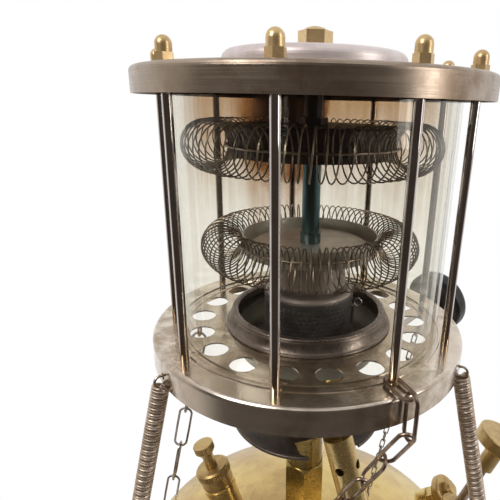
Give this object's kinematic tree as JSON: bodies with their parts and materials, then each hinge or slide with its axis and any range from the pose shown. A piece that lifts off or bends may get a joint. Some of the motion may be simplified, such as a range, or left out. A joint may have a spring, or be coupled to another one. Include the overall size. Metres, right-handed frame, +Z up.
{
  "type": "kerosene pressure stove",
  "caption": "Brass kerosene pressure stove: domed tank on legs, pump, torch and valves, with a glass radiant tower of caged wire coils above.",
  "frame": {"origin": "centre of the bounding box in plan, on the floor under the feet", "axes": "+Z up, -Y towards the side with the torch and the heavy chain, +X towards the pump"},
  "size_m": [0.2966, 0.2895, 0.4401],
  "materials": {
    "tank_brass": "aged satin",
    "turned_brass": "aged satin, turned",
    "plain_steel": "satin",
    "dark_steel": "heat darkened",
    "sheet_steel": "brushed",
    "heat_steel": "heat stained",
    "blued_steel": "heat blued",
    "polished_rod": "polished",
    "black_knob": "satin",
    "glass": "clear",
    "leather": "oiled",
    "gasket": "matt"
  },
  "bodies": {
    "stove": {"tank_shell": "tank_brass", "tank_base": "tank_brass", "legs": "tank_brass", "pickup_pipe": "plain_steel", "filler_neck": "tank_brass", "pump_barrel": "tank_brass", "pump_cap": "turned_brass", "column": "tank_brass", "burner_base": "tank_brass", "gland_nut": "turned_brass", "jet_nipple": "turned_brass", "vaporiser_tube": "dark_steel", "mixing_tube": "dark_steel", "heat_pan": "dark_steel", "torch_base": "tank_brass", "torch_jet": "turned_brass", "torch_tube": "turned_brass", "preheat_valve_body": "tank_brass", "tray": "sheet_steel", "tray_collar": "heat_steel", "burner_bowl": "dark_steel", "burner_drum": "dark_steel", "burner_cap": "dark_steel", "drum_clip": "plain_steel", "lower_dish": "heat_steel", "lower_coil": "dark_steel", "lower_hoop": "heat_steel", "centre_tube": "blued_steel", "tie_rod": "plain_steel", "tie_nuts": "plain_steel", "upper_cup": "dark_steel", "upper_coil": "dark_steel", "upper_hoop": "heat_steel", "glass_cylinder": "glass", "cage_rods": "polished_rod", "foot_nuts": "turned_brass", "top_plate": "sheet_steel", "acorn_nuts": "turned_brass", "lid": "sheet_steel", "centre_nut": "turned_brass", "tension_springs": "plain_steel", "heavy_chain": "dark_steel", "light_chain": "plain_steel", "fine_chain": "plain_steel", "chain_eyes": "turned_brass"},
    "cap_carrier": {"cap_gasket": "gasket"},
    "filler_cap": {"filler_cap": "turned_brass"},
    "release_screw": {"release_screw": "turned_brass"},
    "pump_plunger": {"pump_rod": "dark_steel", "pump_cup": "leather", "pump_head": "turned_brass"},
    "control_wheel": {"control_spindle": "plain_steel", "control_wheel": "black_knob"},
    "jet_needle": {"jet_needle": "plain_steel"},
    "preheat_knob": {"preheat_spindle": "plain_steel", "preheat_knob": "turned_brass"}
  },
  "joints": [
    {"name": "filler_cap_rise", "type": "slide", "parent": "stove", "child": "cap_carrier", "axis": [-0.29, 0, 0.957], "range_m": [0, 0.0046]},
    {"name": "filler_cap_turn", "type": "hinge", "parent": "cap_carrier", "child": "filler_cap", "pos_m": [-0.0845, -0.0113, 0.13369], "axis": [-0.29, 0, 0.957], "range_deg": [0, 1080]},
    {"name": "release_screw_turn", "type": "hinge", "parent": "filler_cap", "child": "release_screw", "pos_m": [-0.0874, -0.0113, 0.14326], "axis": [-0.29, 0, 0.957], "range_deg": [0, 360]},
    {"name": "pump_stroke", "type": "slide", "parent": "stove", "child": "pump_plunger", "axis": [0.3746, 0, 0.9272], "range_m": [-0.038, 0.0115]},
    {"name": "control_wheel_turn", "type": "hinge", "parent": "stove", "child": "control_wheel", "pos_m": [0.0588, 0.05344, 0.22342], "axis": [0.737, 0.6474, 0.1942], "range_deg": [0, 270]},
    {"name": "jet_needle_lift", "type": "slide", "parent": "stove", "child": "jet_needle", "axis": [0, 0, 1], "range_m": [0, 0.0031]},
    {"name": "preheat_knob_turn", "type": "hinge", "parent": "stove", "child": "preheat_knob", "pos_m": [0.10436, 0.02511, 0.08127], "axis": [0.623, -0.3597, 0.6947], "range_deg": [0, 360]}
  ],
  "couplings": [
    {"joint": "filler_cap_rise", "follows": "filler_cap_turn", "m_per_rad": 0.00023873},
    {"joint": "jet_needle_lift", "follows": "control_wheel_turn", "m_per_rad": 0.00063662}
  ]
}
